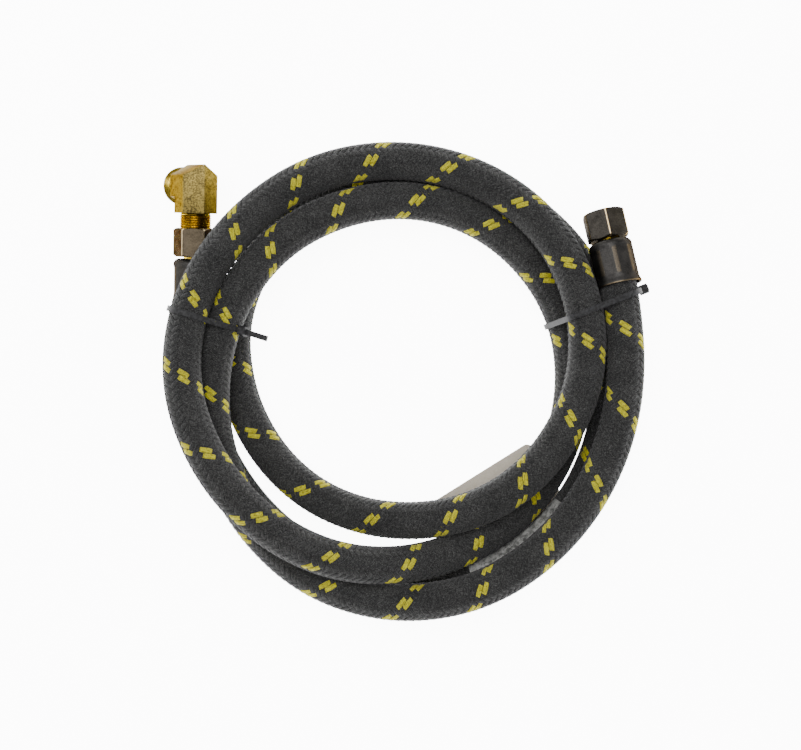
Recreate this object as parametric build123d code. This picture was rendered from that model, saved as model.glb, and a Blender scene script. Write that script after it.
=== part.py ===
from build123d import *
import math
import os

# Braided supply line: a flexible hose with a woven cover, wound in a coil of three and a half turns,
# with a crimped swivel fitting on each end, a brass elbow on one of them, cable ties and a label.
# Millimetres. +Z is up, the coil lies on Z = 0, and the origin is at the middle of the part's footprint.
# Fitting A carries the elbow. Fitting B is the free end.

# ---- hose -------------------------------------------------------------------------------------
BORE_D = 9.5                 # inside of the inner tube
HOSE_OD = 17.0               # over the woven cover
TUBE_WALL = 1.9              # rubber inner tube
PLY_WALL = 0.8               # textile reinforcement between the tube and the cover
CUT_DEPTH = 17.5             # how far each hose end goes into its ferrule
LEAD = 8.0                   # straight hose behind each ferrule
RUN_SHARE = 0.45            # share of each straight run that the corner arcs may use

# ---- coil: centre line, laid out for a hose of LAYOUT_OD ---------------------------------------
LAYOUT_OD = 17.0
END_A = (-95.2, 35.0, 14.8)  # mouth of ferrule A
LEAN_A, RISE_A = 1.6, 6.2    # degrees to the right of +Y, and upwards, of the fitting's axis
END_B = (95.7, 42.7, 25.2)   # mouth of ferrule B
LEAN_B, RISE_B = -11.8, -7.5
FIRST_BEARING, LAST_BEARING = 185, 1437
COIL_POINTS = 57             # sixteen points per turn
STATIONS = [                 # bearing in degrees along the coil, radius, height of the centre line
    # first turn, on the floor, nudged outwards where the later turns press on it
    (185, 94.0, 9.6), (200, 91.5, 8.5), (216, 89.4, 8.5), (240, 90.0, 8.5), (265, 91.8, 8.6),
    (280, 93.9, 8.9), (300, 95.8, 8.9), (320, 95.2, 8.9), (342, 94.0, 8.7), (365, 94.0, 9.7),
    (384, 95.4, 10.3), (400, 95.6, 9.5), (422, 95.8, 8.5), (442, 93.3, 8.5), (470, 90.9, 8.5),
    (490, 88.7, 8.7), (508, 86.0, 9.5), (523, 82.2, 10.3),
    # second turn, spiralling in along the floor, then up and over the third turn and fitting A
    (540, 76.4, 9.7), (558, 71.4, 8.6), (575, 68.3, 9.5), (600, 64.2, 13.0), (625, 62.0, 19.0),
    (645, 62.2, 25.8), (660, 64.8, 26.6), (674, 67.4, 26.6), (690, 70.2, 27.2), (704, 74.0, 27.8),
    (722, 80.1, 29.0), (744, 86.3, 29.5), (761, 91.8, 26.2), (783, 95.0, 26.2), (802, 97.6, 25.6),
    (815, 98.7, 25.2), (830, 100.4, 26.0), (850, 100.0, 29.5), (872, 100.3, 33.8), (880, 99.8, 35.4),
    # third turn, on top at the left, diving under the second turn to the floor at the right
    (904, 96.8, 41.4), (920, 91.7, 44.8), (936, 88.9, 44.9), (952, 85.2, 42.4), (971, 83.4, 38.6),
    (985, 81.2, 32.2), (1005, 79.8, 18.9), (1020, 78.4, 12.6), (1034, 77.8, 9.8), (1056, 76.7, 9.4),
    (1082, 76.5, 9.8), (1104, 78.1, 10.5), (1121, 78.5, 13.0), (1142, 79.9, 16.5), (1162, 80.9, 21.0),
    (1175, 81.1, 22.8), (1190, 81.6, 24.3), (1210, 83.2, 26.0), (1230, 84.2, 27.3),
    # last half turn, riding on the first turn out to fitting B
    (1243, 84.2, 27.5), (1264, 86.2, 26.9), (1280, 88.9, 26.1), (1296, 90.4, 26.1), (1312, 94.8, 25.6),
    (1322, 96.4, 25.4), (1345, 98.4, 25.8), (1369, 98.6, 26.1), (1389, 97.2, 26.1), (1400, 95.8, 26.2),
    (1424, 96.4, 26.4), (1437, 97.4, 26.6),
]

# ---- hose end fittings: distances are along the fitting's axis, from the mouth of its ferrule --
FERRULE_LENGTH = 20.5
FERRULE_WALL = 1.15
FERRULE_GAP = 0.05           # between the cover and the crimped ferrule
BELL_LENGTH = 3.0
BELL_FLARE = 0.6
BELL_LIP = 0.8
FERRULE_FLOOR = 1.6          # the wall that closes round the stem's neck
SHOULDER = 2.4               # length of the rounded end
CRIMP_FLATS = 8
CRIMP_DEPTH = 0.35
CRIMP_MARGIN = 1.0           # plain length at each end of the crimp flats
STEM_BORE_D = 6.4
STEM_WALL = 1.5
BARB_COUNT = 5
BARB_GAP = 0.05              # from the barbs to the hose's bore
BARB_DEPTH = 0.4
BARB_TOP = 0.8               # where each barb is highest, as a share of its length
TAIL_START = 1.7             # from the ferrule's mouth to the stem's inner end
COLLAR_R = 6.2               # stops the stem inside the ferrule
COLLAR_LENGTH = 1.1
COLLAR_GAP = 0.1             # from the cut end of the hose to the collar
NECK_R = 5.0                 # the swivel nut turns on this
HEAD_R = 6.5                 # keeps the swivel nut on
HEAD_LENGTH = 2.3
HEAD_BEVEL = 0.6
MOUTH_FLARE = 1.0            # countersink in the stem's open end
SWIVEL_GAP = 0.2             # between the neck and the nut
SEAL_LENGTH = 2.4
SEAL_RIM = 0.8
SEAL_SETBACK = 0.5           # from the edges of the bores on either side
SEAT_GAP = 0.1               # either side of the seal
NUT_AF = 17.46               # 11/16 inch across flats
NUT_LENGTH = 12.8
NUT_START_GAP = 0.9          # ferrule to nut
NUT_FLOOR = 3.0              # rear wall of the nut
NUT_CHAMFER = 0.9
THREAD_D = 14.29             # 9/16 inch compression thread
THREAD_PITCH = 1.0583        # 24 threads to the inch
THREAD_GAP = 0.1             # radial clearance between the nut and the thread
THREAD_RELIEF = 0.35         # how much wider the nut is behind its thread, round the stem's head

# ---- brass elbow: distances are from the middle of the bend -------------------------------------
ELBOW_AF = 16.7
ELBOW_CENTRE = 53.1          # from the mouth of ferrule A, along its axis
INLET_HEX = 12.2
INLET_NECK = 2.3
NECK_UNDERCUT = 0.65         # how much smaller than the thread each neck is
INLET_BORE_D = 8.0
OUTLET_TURN = 31.0           # degrees from straight down, towards the outside of the coil
OUTLET_HEX = 9.8
OUTLET_NECK = 1.0
OUTLET_LENGTH = 18.9
PIPE_THREAD_D = 17.15        # 3/8 inch pipe thread
OUTLET_BORE_D = 10.5
THREAD_LEAD = 0.6            # chamfer on the thread ends

# ---- cable ties: two short ties chained into one loop at the left, one tie at the right -----------------------
TIE_WIDTH = 2.5
TIE_THICK = 1.1
TIE_GAP = 0.15               # between the strap and the hose
TIE_HEAD = (4.6, 3.0, 4.4)   # along the strap, out from the bundle, across the strap
HEAD_CHAMFER = 0.6
STRAP_START = 1.0            # from the middle of a head's slot to the root of its own strap
SLOT_GAP = 0.08              # between the strap and the slot of the head that it passes through
LEFT_TIE_BEARING = 162.7
RIGHT_TIE_BEARING = 21.1
LEFT_HEADS = [(3, 155), (1, -25)]      # (strand that the head sits on, angle there)
RIGHT_HEADS = [(2, -12)]
LONG_TAIL, SHORT_TAIL = 11.0, 0.8
HEAD_SHIFT = 0.4             # share of the head that lies behind its slot

# ---- label: wrapped round the hose, its two ends stuck together as a flag -------------------------
LABEL_LENGTH = 56.0          # along the hose
LABEL_THICK = 0.15           # one layer: the flag is two
LABEL_GAP = 0.03
LABEL_REACH = 41.0           # from the hose's centre line to the edge of the flag
LABEL_CORNER = 3.0
LABEL_RUN = 6                # the label is centred on the run that starts at this point of the coil
LABEL_SHIFT = -4.0           # back along the hose from the middle of that run
LABEL_TURN = 32.0            # direction of the flag's long edge, in degrees from +X

# ---- derived values -------------------------------------------------------------------------------
GROW = HOSE_OD / LAYOUT_OD
HOSE_R = HOSE_OD / 2
TUBE_R = BORE_D / 2 + TUBE_WALL
PLY_R = TUBE_R + PLY_WALL
FERRULE_IN_R = HOSE_R + FERRULE_GAP
FERRULE_R = FERRULE_IN_R + FERRULE_WALL
BELL_R = FERRULE_R + BELL_FLARE
STEM_R = BORE_D / 2 - BARB_GAP
STEM_IN_R = STEM_BORE_D / 2
NUT_START = FERRULE_LENGTH + NUT_START_GAP
NUT_END = NUT_START + NUT_LENGTH
NUT_SHOULDER = NUT_START + NUT_FLOOR
NUT_BORE_R = NECK_R + SWIVEL_GAP
NUT_THREAD_R = THREAD_D / 2 + THREAD_GAP
HEAD_START = NUT_SHOULDER + SWIVEL_GAP
HEAD_END = HEAD_START + HEAD_LENGTH
SEAL_START = HEAD_END + SEAT_GAP
SEAL_END = SEAL_START + SEAL_LENGTH
ELBOW_FACE = SEAL_END + SEAT_GAP
HEX_R = ELBOW_AF / math.sqrt(3)
MITRE_BLOCK = 200.0         # larger than either leg of the elbow
STRAP_R = HOSE_R + TIE_GAP
BOTTOM = (Align.CENTER, Align.CENTER, Align.MIN)


def direction(lean, rise):
    """Unit vector that leans to the right of +Y and rises from the floor, both in degrees."""
    flat = math.cos(math.radians(rise))
    return Vector(
        math.sin(math.radians(lean)) * flat,
        math.cos(math.radians(lean)) * flat,
        math.sin(math.radians(rise)),
    )


AXIS_A = direction(LEAN_A, RISE_A)
AXIS_B = direction(LEAN_B, RISE_B)
MOUTH_A = Vector(*END_A) * GROW
MOUTH_B = Vector(*END_B) * GROW


# ---- route ----------------------------------------------------------------------------------------
def between_stations(bearing):
    """Radius and height of the centre line at a bearing, in a straight line between its stations."""
    for (b0, r0, z0), (b1, r1, z1) in zip(STATIONS, STATIONS[1:]):
        if bearing <= b1:
            share = (bearing - b0) / (b1 - b0)
            return r0 + share * (r1 - r0), z0 + share * (z1 - z0)
    return STATIONS[-1][1:]


def centre_at(bearing):
    """The centre line's point at a bearing."""
    radius, height = between_stations(bearing)
    turn = math.radians(bearing)
    return Vector(radius * math.cos(turn), radius * math.sin(turn), height) * GROW


def coil_points():
    """Corners of the route through the turns, set out so that its arcs pass through the stations."""
    step = (LAST_BEARING - FIRST_BEARING) / (COIL_POINTS - 1)
    spread = 1 / math.cos(math.radians(step / 2))
    points = []
    for count in range(COIL_POINTS):
        point = centre_at(FIRST_BEARING + count * step)
        points.append(Vector(point.X * spread, point.Y * spread, point.Z))
    return points


def route_points():
    """All corners of the hose's route, from its end in ferrule A to its end in ferrule B."""
    start = [MOUTH_A + AXIS_A * CUT_DEPTH, MOUTH_A - AXIS_A * LEAD]
    finish = [MOUTH_B - AXIS_B * LEAD, MOUTH_B + AXIS_B * CUT_DEPTH]
    return start + coil_points() + finish


def corner_radii(points):
    """The largest arc that each corner's two runs allow."""
    radii = []
    for before, corner, after in zip(points, points[1:], points[2:]):
        run_in = corner - before
        run_out = after - corner
        half_turn = math.radians(run_in.get_angle(run_out) / 2)
        radii.append(RUN_SHARE * min(run_in.length, run_out.length) / math.tan(half_turn))
    return radii


def hose_route():
    points = route_points()
    radii = corner_radii(points)
    print("corner radii", [round(radius) for radius in radii])
    return FilletPolyline(*points, radius=radii)


def sweep_ring(path, outer_r, inner_r):
    """A tube wall along a path."""
    section = Plane(origin=path @ 0, z_dir=path % 0) * (Circle(outer_r) - Circle(inner_r))
    wall = sweep(section, path=path)
    expected = math.pi * (outer_r**2 - inner_r**2) * path.length
    print(f"swept {wall.volume:.0f} mm3, section times length {expected:.0f} mm3")
    return wall


# ---- turned and hexagonal pieces, made along +Z -----------------------------------------------------
def turned(profile):
    """A solid of revolution about Z from (radius, height) points."""
    return revolve(Plane.XZ * make_face(Polyline(*profile, close=True)), Axis.Z)


def rod(radius, start, end):
    return Pos(0, 0, start) * Cylinder(radius, end - start, align=BOTTOM)


def hexagon_bar(across_flats, start, end):
    """A hexagonal bar with corners on +X and -X."""
    face = Pos(0, 0, start) * RegularPolygon(across_flats / math.sqrt(3), 6)
    return extrude(face, end - start)


def make_stem():
    """Barbed brass insert: a tail in the hose, a collar, the nut's neck and a head that keeps the nut."""
    root_r = STEM_R - BARB_DEPTH
    collar_start = CUT_DEPTH + COLLAR_GAP
    collar_end = collar_start + COLLAR_LENGTH
    profile = [(STEM_IN_R, TAIL_START), (root_r - BARB_DEPTH, TAIL_START)]
    pitch = (collar_start - TAIL_START) / (BARB_COUNT + 1)
    for count in range(BARB_COUNT):
        base = TAIL_START + (count + 0.5) * pitch
        profile.append((root_r, base))
        profile.append((STEM_R, base + pitch * BARB_TOP))
        profile.append((root_r, base + pitch * BARB_TOP))
    profile += [
        (root_r, collar_start),
        (COLLAR_R, collar_start),
        (COLLAR_R, collar_end),
        (NECK_R, collar_end),
        (NECK_R, HEAD_START),
        (HEAD_R, HEAD_START),
        (HEAD_R, HEAD_END - HEAD_BEVEL),
        (HEAD_R - HEAD_BEVEL, HEAD_END),
        (STEM_IN_R + MOUTH_FLARE, HEAD_END),
        (STEM_IN_R, HEAD_END - MOUTH_FLARE),
    ]
    return turned(profile)


def make_ferrule():
    """Crimped sleeve: a bell mouth, a body with long crimp flats and a rounded end round the neck."""
    inner_end = FERRULE_LENGTH - FERRULE_FLOOR
    end_r = NECK_R + FERRULE_GAP
    shell = turned([
        (FERRULE_IN_R + BELL_FLARE, 0),
        (BELL_R, 0),
        (BELL_R, BELL_LIP),
        (FERRULE_R, BELL_LENGTH),
        (FERRULE_R, FERRULE_LENGTH - SHOULDER),
        (FERRULE_R - SHOULDER / 3, FERRULE_LENGTH - SHOULDER / 3),
        (FERRULE_R - SHOULDER, FERRULE_LENGTH),
        (end_r, FERRULE_LENGTH),
        (end_r, inner_end),
        (FERRULE_IN_R, inner_end),
        (FERRULE_IN_R, 2 * BELL_FLARE),
    ])
    crimp_start = BELL_LENGTH + CRIMP_MARGIN
    crimp_length = inner_end - CRIMP_MARGIN - crimp_start
    reach = FERRULE_R - CRIMP_DEPTH
    corner = (Align.MIN, Align.CENTER, Align.MIN)
    for count in range(CRIMP_FLATS):
        flat = Pos(reach, 0, crimp_start) * Box(FERRULE_WALL, FERRULE_R, crimp_length, align=corner)
        shell -= Rot(0, 0, count * 360 / CRIMP_FLATS) * flat
    return shell


def make_nut():
    """Hexagonal swivel nut: corners chamfered at both ends, a plain rear bore and a threaded front."""
    corner_r = NUT_AF / math.sqrt(3)
    envelope = chamfer(rod(corner_r, NUT_START, NUT_END).edges(), NUT_CHAMFER)
    blank = hexagon_bar(NUT_AF, NUT_START, NUT_END) & envelope
    blank -= rod(NUT_BORE_R, NUT_START, NUT_END)
    blank -= rod(NUT_THREAD_R + THREAD_RELIEF, NUT_SHOULDER, ELBOW_FACE)
    blank -= rod(NUT_THREAD_R, ELBOW_FACE, NUT_END)
    return blank


def make_seal():
    """Rubber cone washer between the stem's head and the mating part."""
    return turned([
        (STEM_IN_R + SEAL_SETBACK, SEAL_START),
        (HEAD_R, SEAL_START),
        (HEAD_R, SEAL_START + SEAL_RIM),
        (INLET_BORE_D / 2 + SEAL_SETBACK, SEAL_END),
        (STEM_IN_R + SEAL_SETBACK, SEAL_END),
    ])


def threaded_end(major_r, start, end):
    """Plain cylinder at a thread's outside diameter, chamfered at its far end."""
    return turned([
        (0, start),
        (major_r, start),
        (major_r, end - THREAD_LEAD),
        (major_r - THREAD_LEAD, end),
        (0, end),
    ])


def make_elbow():
    """Brass elbow at the origin: the inlet leg runs along -Z and the outlet leg along +X."""
    inlet_end = ELBOW_CENTRE - ELBOW_FACE
    to_inlet = Rot(180, 0, 0)
    to_outlet = Rot(0, 90, 0)
    mitre = Rot(0, 45, 0) * Box(MITRE_BLOCK, MITRE_BLOCK, MITRE_BLOCK, align=BOTTOM)
    body = to_inlet * hexagon_bar(ELBOW_AF, -2 * HEX_R, INLET_HEX) - mitre
    body += (to_outlet * hexagon_bar(ELBOW_AF, -2 * HEX_R, OUTLET_HEX)) & mitre
    thread_r = THREAD_D / 2
    pipe_r = PIPE_THREAD_D / 2
    body += to_inlet * rod(thread_r - NECK_UNDERCUT, 0, INLET_HEX + INLET_NECK)
    body += to_inlet * threaded_end(thread_r, INLET_HEX + INLET_NECK, inlet_end)
    body += to_outlet * rod(pipe_r - NECK_UNDERCUT, 0, OUTLET_HEX + OUTLET_NECK)
    body += to_outlet * threaded_end(pipe_r, OUTLET_HEX + OUTLET_NECK, OUTLET_LENGTH)
    body -= to_inlet * rod(INLET_BORE_D / 2, 0, inlet_end)
    body -= to_outlet * rod(OUTLET_BORE_D / 2, -INLET_BORE_D / 2, OUTLET_LENGTH)
    return body


# ---- placing the fittings ---------------------------------------------------------------------------
def fitting_plane(mouth, axis, aim):
    """Frame of a fitting: Z out of the hose, X as near to aim as a right angle allows."""
    return Plane(origin=mouth, x_dir=aim - axis * aim.dot(axis), z_dir=axis)


AIM = Vector(-math.sin(math.radians(OUTLET_TURN)), 0, -math.cos(math.radians(OUTLET_TURN)))
FRAME_A = fitting_plane(MOUTH_A, AXIS_A, AIM)
FRAME_B = fitting_plane(MOUTH_B, AXIS_B, Vector(0, 0, 1))
FRAME_ELBOW = FRAME_A.offset(ELBOW_CENTRE)


def make_fitting(nodes, end, frame):
    nodes["stem_" + end] = frame.location * make_stem()
    nodes["ferrule_" + end] = frame.location * make_ferrule()
    nodes["swivel_nut_" + end] = frame.location * make_nut()
    nodes["seal_" + end] = frame.location * make_seal()


# ---- cable ties -------------------------------------------------------------------------------------
def tie_frame(bearing):
    """Upright plane across the bundle: X points away from the coil's middle, Y points up."""
    turn = math.radians(bearing)
    outward = Vector(math.cos(turn), math.sin(turn), 0)
    return Plane(origin=(0, 0, 0), x_dir=outward, z_dir=outward.cross(Vector(0, 0, 1)))


def strap_loop(centres):
    """The straps' closed loop round strands with these centres, in the tie's own plane."""
    core = make_face(Polyline(*centres, close=True))
    ring = offset(core, STRAP_R + TIE_THICK) - offset(core, STRAP_R)
    return extrude(ring, TIE_WIDTH / 2, both=True)


def head_frame(centre, angle):
    """Frame where the loop bends round a strand: X along the strap, Y out from the strand."""
    out = Vector(math.cos(math.radians(angle)), math.sin(math.radians(angle)), 0)
    along = Vector(out.Y, -out.X, 0)
    return Plane(origin=Vector(*centre) + out * STRAP_R, x_dir=along, z_dir=(0, 0, 1))


def block(start, end, bottom, top, across):
    """A box from its limits along the strap and out from the strand."""
    corner = (Align.MIN, Align.MIN, Align.CENTER)
    return Pos(start, bottom, 0) * Box(end - start, top - bottom, across, align=corner)


def make_head():
    """The locking box at the end of a strap, with the slot that a strap leaves through."""
    along, height, across = TIE_HEAD
    bottom = TIE_THICK + SLOT_GAP
    start, end = -along * HEAD_SHIFT, along * (1 - HEAD_SHIFT)
    box = block(start, end, bottom, bottom + height, across)
    box = chamfer(box.edges().filter_by(Axis.Y), HEAD_CHAMFER)
    slot_half = TIE_THICK / 2 + SLOT_GAP
    box -= block(-slot_half, slot_half, bottom, bottom + height, TIE_WIDTH + 2 * SLOT_GAP)
    return box + block(STRAP_START, end, 0, bottom, TIE_WIDTH)


def make_tail(length):
    """The end of a strap, turned out from the bundle through a head."""
    return block(-TIE_THICK / 2, TIE_THICK / 2, 0, TIE_THICK + TIE_HEAD[1] + length, TIE_WIDTH)


def make_ties(nodes, name, path, bearing, heads, tails):
    """One loop of chained ties. heads holds (strand, angle) places, tails the loose end at each."""
    centres = strands_through(path, bearing)
    print(name, "tie goes round", [(round(x, 1), round(y, 1)) for x, y in centres])
    places = [head_frame(centres[strand], angle) for strand, angle in heads]
    loop = strap_loop(centres)
    for place in places:
        loop -= place.location * block(-TIE_THICK / 2, STRAP_START, -TIE_THICK, 2 * TIE_THICK, 2 * TIE_WIDTH)
    frame = tie_frame(bearing)
    for count, place in enumerate(places):
        root = place.location * Pos(STRAP_START, TIE_THICK / 2, 0) * Vertex()
        strap = loop.solids().sort_by_distance(root)[0]
        after = (count + 1) % len(places)
        tie = strap + place.location * make_head() + places[after].location * make_tail(tails[after])
        number = f"_{count + 1}" if len(places) > 1 else ""
        nodes[f"cable_tie_{name}{number}"] = frame.location * tie


# ---- label ------------------------------------------------------------------------------------------
def make_label(path):
    """A sleeve round the hose and the flat flag under it."""
    start, end = coil_points()[LABEL_RUN - 1:LABEL_RUN + 1]
    middle = path.wire().param_at_point((start + end) / 2) + LABEL_SHIFT / path.length
    half = LABEL_LENGTH / 2 / path.length
    stretch = path.wire().trim(middle - half, middle + half)
    sleeve_r = HOSE_R + LABEL_GAP
    sleeve = sweep_ring(stretch, sleeve_r + LABEL_THICK, sleeve_r)
    centre = stretch @ 0.5
    flag = Box(LABEL_LENGTH, LABEL_REACH, 2 * LABEL_THICK, align=(Align.CENTER, Align.MIN, Align.MIN))
    corners = flag.edges().filter_by(Axis.Z).sort_by(Axis.Y)[-2:]
    flag = fillet(corners, LABEL_CORNER)
    return sleeve + Pos(centre.X, centre.Y, 0) * Rot(0, 0, LABEL_TURN) * flag


# ---- assembly ---------------------------------------------------------------------------------------
def strands_through(path, bearing):
    """Where the hose passes through a tie's plane, in that plane, in order round the bundle."""
    frame = tie_frame(bearing)
    places = []
    for edge in path.edges():
        for vertex in edge.intersect(frame) or []:
            place = frame.to_local_coords(vertex.center())
            if place.X > 0:
                places.append((place.X, place.Y))
    middle_x = sum(x for x, y in places) / len(places)
    middle_y = sum(y for x, y in places) / len(places)
    return sorted(places, key=lambda place: math.atan2(place[1] - middle_y, place[0] - middle_x))


def build():
    nodes = {}
    path = hose_route()
    print(f"hose length {path.length:.0f} mm")
    nodes["inner_tube"] = sweep_ring(path, TUBE_R, BORE_D / 2)
    nodes["reinforcement_braid"] = sweep_ring(path, PLY_R, TUBE_R)
    nodes["outer_braid"] = sweep_ring(path, HOSE_R, PLY_R)
    make_fitting(nodes, "a", FRAME_A)
    make_fitting(nodes, "b", FRAME_B)
    nodes["elbow"] = FRAME_ELBOW.location * make_elbow()
    make_ties(nodes, "left", path, LEFT_TIE_BEARING, LEFT_HEADS, (LONG_TAIL, SHORT_TAIL))
    make_ties(nodes, "right", path, RIGHT_TIE_BEARING, RIGHT_HEADS, (SHORT_TAIL,))
    nodes["label"] = make_label(path)
    return nodes


NODES = build()
os.makedirs("parts", exist_ok=True)
for node_name, solid in NODES.items():
    export_step(solid, f"parts/{node_name}.step")
    print(node_name, len(solid.solids()), "solid", round(solid.volume), "mm3")
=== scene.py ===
# %% [markdown]
# # Braided supply line
# A water hose with a woven cover lies in a coil of three and a half turns. Nylon ties hold the bundle,
# two chained ones at the left and one at the right. A crimped fitting sits on each end, and a brass
# elbow is screwed into one of them. The rigid pieces were designed in CAD, and this file dresses them:
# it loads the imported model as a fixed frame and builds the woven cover, the threads, the crimps and
# every finish around it.

# %% Load the frame
import math
import bmesh
import bpy
import numpy as np
from mathutils import Matrix, Vector


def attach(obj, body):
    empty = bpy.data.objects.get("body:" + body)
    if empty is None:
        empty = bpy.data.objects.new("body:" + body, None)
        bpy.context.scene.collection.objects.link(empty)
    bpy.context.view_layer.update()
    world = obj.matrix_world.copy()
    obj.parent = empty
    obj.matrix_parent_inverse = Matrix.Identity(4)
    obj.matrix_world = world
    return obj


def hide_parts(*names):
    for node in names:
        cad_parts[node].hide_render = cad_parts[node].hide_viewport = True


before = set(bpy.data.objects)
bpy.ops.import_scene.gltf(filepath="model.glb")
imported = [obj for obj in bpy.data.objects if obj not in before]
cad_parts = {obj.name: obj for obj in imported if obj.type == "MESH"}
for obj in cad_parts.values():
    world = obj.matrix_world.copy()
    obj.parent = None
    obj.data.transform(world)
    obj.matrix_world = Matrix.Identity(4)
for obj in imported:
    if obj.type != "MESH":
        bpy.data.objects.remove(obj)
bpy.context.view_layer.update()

MM = 0.001

# %% [markdown]
# ## Camera
# The camera looks straight down from 0.7 m, like a camera on a copy stand. A long lens keeps the
# perspective mild, so the upper turns look only a little larger than the lower ones. An orthographic
# camera would lose even that difference.

# %% Camera
CAMERA_PLACE = (-0.0019, 0.0029, 0.7)
CAMERA_LENS = 68.0
camera_data = bpy.data.cameras.new("camera")
camera_data.lens = CAMERA_LENS
camera = bpy.data.objects.new("camera", camera_data)
camera.location = CAMERA_PLACE
bpy.context.scene.collection.objects.link(camera)
bpy.context.scene.camera = camera
print("camera", CAMERA_LENS, "mm lens,", CAMERA_PLACE[2], "m above the floor")

# %% [markdown]
# ## The hose's route
# The centre line is a coil, so its points come from a loop. Each station gives a bearing, a radius and
# a height. The hose starts on the floor at fitting A, spirals in, climbs over itself and ends on top of
# its own first turn at fitting B. A curve drawn by hand would do for one loop, but a table of stations
# is easier to correct here, where strands rest on each other. The points are the control points of one
# smooth NURBS curve.

# %% Hose sizes and stations
HOSE_R = 8.5 * MM
END_A, LEAN_A, RISE_A = (-95.2, 35.0, 14.8), 1.6, 6.2
END_B, LEAN_B, RISE_B = (95.7, 42.7, 25.2), -11.8, -7.5
CUT_DEPTH, LEAD = 17.5, 8.0
FIRST_BEARING, LAST_BEARING, COIL_POINTS = 185, 1437, 57
STATIONS = [
    # first turn, on the floor, nudged outwards where the later turns press on it
    (185, 94.0, 9.6), (200, 91.5, 8.5), (216, 89.4, 8.5), (240, 90.0, 8.5), (265, 91.8, 8.6),
    (280, 93.9, 8.9), (300, 95.8, 8.9), (320, 95.2, 8.9), (342, 94.0, 8.7), (365, 94.0, 9.7),
    (384, 95.4, 10.3), (400, 95.6, 9.5), (422, 95.8, 8.5), (442, 93.3, 8.5), (470, 90.9, 8.5),
    (490, 88.7, 8.7), (508, 86.0, 9.5), (523, 82.2, 10.3),
    # second turn, spiralling in along the floor, then up and over the third turn and fitting A
    (540, 76.4, 9.7), (558, 71.4, 8.6), (575, 68.3, 9.5), (600, 64.2, 13.0), (625, 62.0, 19.0),
    (645, 62.2, 25.8), (660, 64.8, 26.6), (674, 67.4, 26.6), (690, 70.2, 27.2), (704, 74.0, 27.8),
    (722, 80.1, 29.0), (744, 86.3, 29.5), (761, 91.8, 26.2), (783, 95.0, 26.2), (802, 97.6, 25.6),
    (815, 98.7, 25.2), (830, 100.4, 26.0), (850, 100.0, 29.5), (872, 100.3, 33.8), (880, 99.8, 35.4),
    # third turn, on top at the left, diving under the second turn to the floor at the right
    (904, 96.8, 41.4), (920, 91.7, 44.8), (936, 88.9, 44.9), (952, 85.2, 42.4), (971, 83.4, 38.6),
    (985, 81.2, 32.2), (1005, 79.8, 18.9), (1020, 78.4, 12.6), (1034, 77.8, 9.8), (1056, 76.7, 9.4),
    (1082, 76.5, 9.8), (1104, 78.1, 10.5), (1121, 78.5, 13.0), (1142, 79.9, 16.5), (1162, 80.9, 21.0),
    (1175, 81.1, 22.8), (1190, 81.6, 24.3), (1210, 83.2, 26.0), (1230, 84.2, 27.3),
    # last half turn, riding on the first turn out to fitting B
    (1243, 84.2, 27.5), (1264, 86.2, 26.9), (1280, 88.9, 26.1), (1296, 90.4, 26.1), (1312, 94.8, 25.6),
    (1322, 96.4, 25.4), (1345, 98.4, 25.8), (1369, 98.6, 26.1), (1389, 97.2, 26.1), (1400, 95.8, 26.2),
    (1424, 96.4, 26.4), (1437, 97.4, 26.6),
]

# %% Control points
def direction(lean, rise):
    """Unit vector that leans to the right of +Y and rises from the floor, both in degrees."""
    lean, rise = math.radians(lean), math.radians(rise)
    return np.array([math.sin(lean) * math.cos(rise), math.cos(lean) * math.cos(rise), math.sin(rise)])


AXIS_A, AXIS_B = direction(LEAN_A, RISE_A), direction(LEAN_B, RISE_B)
MOUTH_A, MOUTH_B = np.array(END_A), np.array(END_B)


def coil_points():
    """Corners of the turns, set a little outside the stations' radius because the curve cuts inside."""
    bearings = np.linspace(FIRST_BEARING, LAST_BEARING, COIL_POINTS)
    spread = 1 / math.cos(math.radians((bearings[1] - bearings[0]) / 2))
    known, radii, heights = np.array(STATIONS).T
    radius = np.interp(bearings, known, radii) * spread
    height = np.interp(bearings, known, heights)
    turn = np.radians(bearings)
    return np.column_stack([radius * np.cos(turn), radius * np.sin(turn), height])


route = np.vstack([
    MOUTH_A + AXIS_A * CUT_DEPTH,
    MOUTH_A - AXIS_A * LEAD,
    coil_points(),
    MOUTH_B - AXIS_B * LEAD,
    MOUTH_B + AXIS_B * CUT_DEPTH,
]) * MM

# %% Centre line from the NURBS curve
CURVE_STEPS = 16


def smooth_line(points):
    """Points along the NURBS curve with these control points."""
    data = bpy.data.curves.new("route", "CURVE")
    data.dimensions = "3D"
    spline = data.splines.new("NURBS")
    spline.points.add(len(points) - 1)
    for knot, point in zip(spline.points, points):
        knot.co = (*point, 1)
    spline.order_u = 3
    spline.use_endpoint_u = True
    data.resolution_u = CURVE_STEPS
    curve = bpy.data.objects.new("route", data)
    bpy.context.scene.collection.objects.link(curve)
    bpy.context.view_layer.update()
    mesh = bpy.data.meshes.new_from_object(curve)
    line = np.array([vertex.co[:] for vertex in mesh.vertices])
    bpy.data.objects.remove(curve)
    bpy.data.meshes.remove(mesh)
    return line


centre_line = smooth_line(route)
steps = np.linalg.norm(np.diff(centre_line, axis=0), axis=1)
distance = np.concatenate([[0], np.cumsum(steps)])
HOSE_LENGTH = distance[-1]
print(f"hose {HOSE_LENGTH:.3f} m, {len(centre_line)} points")

# %% [markdown]
# ## A frame that travels
# The weave needs a frame that travels along the hose without twisting, so that a yarn's helix is even.
# A frame held upright would spin where the hose climbs, so this one is carried from one point to the
# next by the smallest turn that keeps it square to the line.

# %% A frame that travels along the hose
tangents = np.gradient(centre_line, distance, axis=0)
tangents /= np.linalg.norm(tangents, axis=1)[:, None]


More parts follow.
